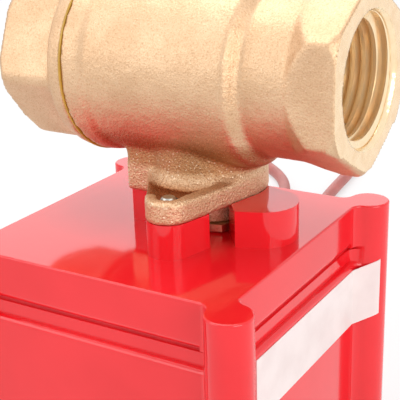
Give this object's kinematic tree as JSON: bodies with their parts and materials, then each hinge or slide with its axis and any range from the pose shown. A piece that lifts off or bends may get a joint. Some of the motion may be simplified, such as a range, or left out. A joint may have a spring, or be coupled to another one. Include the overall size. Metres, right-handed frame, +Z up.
{
  "type": "miniature electric valve",
  "caption": "Brass two-way ball valve with female pipe threads, turned a quarter turn by a red geared motor actuator under it, with a bare-ended cable.",
  "frame": {"origin": "on the actuator's resting face, straight under the valve stem's axis", "axes": "+Z up along the stem's axis, +X along the pipe towards the valve body's own port, +Y towards the cable's side"},
  "size_m": [0.1097, 0.2225, 0.0891],
  "materials": {
    "cast_brass": "fine cast grain, satin",
    "bar_brass": "machined",
    "thread_sealant": "cured thread sealant",
    "chromed_ball": "polished",
    "seat_plastic": "fluoropolymer",
    "seal_rubber": "moulded",
    "screw_steel": "zinc plated",
    "red_plastic": "glossy moulded",
    "dark_gasket": "soft flat gasket",
    "label_film": "blank film",
    "gear_nylon": "moulded nylon",
    "gear_steel": "sintered steel",
    "plate_steel": "stamped and plated",
    "motor_steel": "drawn can",
    "black_plastic": "moulded",
    "tinned_metal": "tinned",
    "magnet": "ferrite",
    "rotor_copper": "wound armature on a steel shaft",
    "spring_steel": "spring leaf",
    "plunger_plastic": "moulded",
    "wire_jacket": "insulated wire",
    "board_laminate": "solder mask",
    "relay_plastic": "moulded",
    "capacitor_sleeve": "sleeved can",
    "block_plastic": "moulded",
    "grommet_rubber": "moulded",
    "cable_jacket": "smooth round sheath",
    "red_wire": "insulated lead",
    "black_wire": "insulated lead"
  },
  "bodies": {
    "housing": {"valve_body": "cast_brass", "end_connector": "bar_brass", "joint_seal": "thread_sealant", "ball_seat_right": "seat_plastic", "ball_seat_left": "seat_plastic", "thrust_washer": "seat_plastic", "packing_nut": "bar_brass", "packing_ring": "seat_plastic", "flange_screws": "screw_steel", "base_housing": "red_plastic", "cover_housing": "red_plastic", "housing_gasket": "dark_gasket", "cover_screws": "screw_steel", "label": "label_film", "gear_pins": "screw_steel", "pin_washers": "screw_steel", "gear_plate": "plate_steel", "plate_screws": "screw_steel", "motor_can": "motor_steel", "motor_screws": "screw_steel", "motor_cap": "black_plastic", "motor_terminals": "tinned_metal", "motor_magnets": "magnet", "closed_switch": "black_plastic", "open_switch": "black_plastic", "switch_terminals": "tinned_metal", "switch_wires": "wire_jacket", "switch_screws": "screw_steel", "circuit_board": "board_laminate", "board_screws": "screw_steel", "relay": "relay_plastic", "capacitor": "capacitor_sleeve", "terminal_block": "block_plastic", "board_chips": "black_plastic", "grommet": "grommet_rubber", "cable_end_inside": "cable_jacket", "cable_tie": "gear_nylon", "inner_leads": "wire_jacket", "cable": "cable_jacket", "red_lead": "red_wire", "black_lead": "black_wire", "tinned_tips": "tinned_metal"},
    "drive": {"ball": "chromed_ball", "stem": "bar_brass", "stem_orings": "seal_rubber", "output_gear": "gear_steel", "hub_seal": "seal_rubber", "output_shaft": "gear_steel", "cam": "gear_nylon"},
    "third_gear": {"third_gear": "gear_steel"},
    "second_gear": {"second_gear": "gear_nylon"},
    "first_gear": {"first_gear": "gear_nylon"},
    "motor_shaft": {"motor_rotor": "rotor_copper", "motor_pinion": "bar_brass"},
    "closed_lever": {"closed_lever": "spring_steel"},
    "open_lever": {"open_lever": "spring_steel"},
    "closed_plunger": {"closed_plunger": "plunger_plastic"},
    "open_plunger": {"open_plunger": "plunger_plastic"}
  },
  "joints": [
    {"name": "valve_turn", "type": "hinge", "parent": "housing", "child": "drive", "pos_m": [0, 0, 0.05], "axis": [0, 0, 1], "range_deg": [0, 90]},
    {"name": "third_gear_spin", "type": "hinge", "parent": "housing", "child": "third_gear", "pos_m": [-0.01287, -0.01287, 0.037], "axis": [0, 0, 1], "range_deg": [-378, 0]},
    {"name": "second_gear_spin", "type": "hinge", "parent": "housing", "child": "second_gear", "pos_m": [0.00063, -0.01287, 0.032], "axis": [0, 0, 1], "range_deg": [0, 1323]},
    {"name": "first_gear_spin", "type": "hinge", "parent": "housing", "child": "first_gear", "pos_m": [0.0104, -0.00931, 0.029], "axis": [0, 0, 1], "range_deg": [-4410, 0]},
    {"name": "motor_spin", "type": "hinge", "parent": "housing", "child": "motor_shaft", "pos_m": [0.00753, -0.01721, 0.02], "axis": [0, 0, 1], "range_deg": [0, 14112]},
    {"name": "closed_lever_press", "type": "hinge", "parent": "housing", "child": "closed_lever", "pos_m": [-0.0056, 0.0069, 0.0209], "axis": [0, 0, 1], "range_deg": [0, 3.4], "stiffness_Nm_per_rad": 0.02},
    {"name": "open_lever_press", "type": "hinge", "parent": "housing", "child": "open_lever", "pos_m": [-0.0069, -0.0056, 0.0209], "axis": [0, 0, 1], "range_deg": [0, 3.4], "stiffness_Nm_per_rad": 0.02},
    {"name": "closed_plunger_press", "type": "slide", "parent": "housing", "child": "closed_plunger", "axis": [0, 1, 0], "range_m": [0, 0.00023]},
    {"name": "open_plunger_press", "type": "slide", "parent": "housing", "child": "open_plunger", "axis": [-1, 0, 0], "range_m": [0, 0.00023]}
  ],
  "couplings": [
    {"joint": "third_gear_spin", "follows": "valve_turn", "ratio": -4.2},
    {"joint": "second_gear_spin", "follows": "valve_turn", "ratio": 14.7},
    {"joint": "first_gear_spin", "follows": "valve_turn", "ratio": -49},
    {"joint": "motor_spin", "follows": "valve_turn", "ratio": 156.8},
    {"joint": "closed_plunger_press", "follows": "closed_lever_press", "m_per_rad": 0.0038},
    {"joint": "open_plunger_press", "follows": "open_lever_press", "m_per_rad": 0.0038}
  ]
}
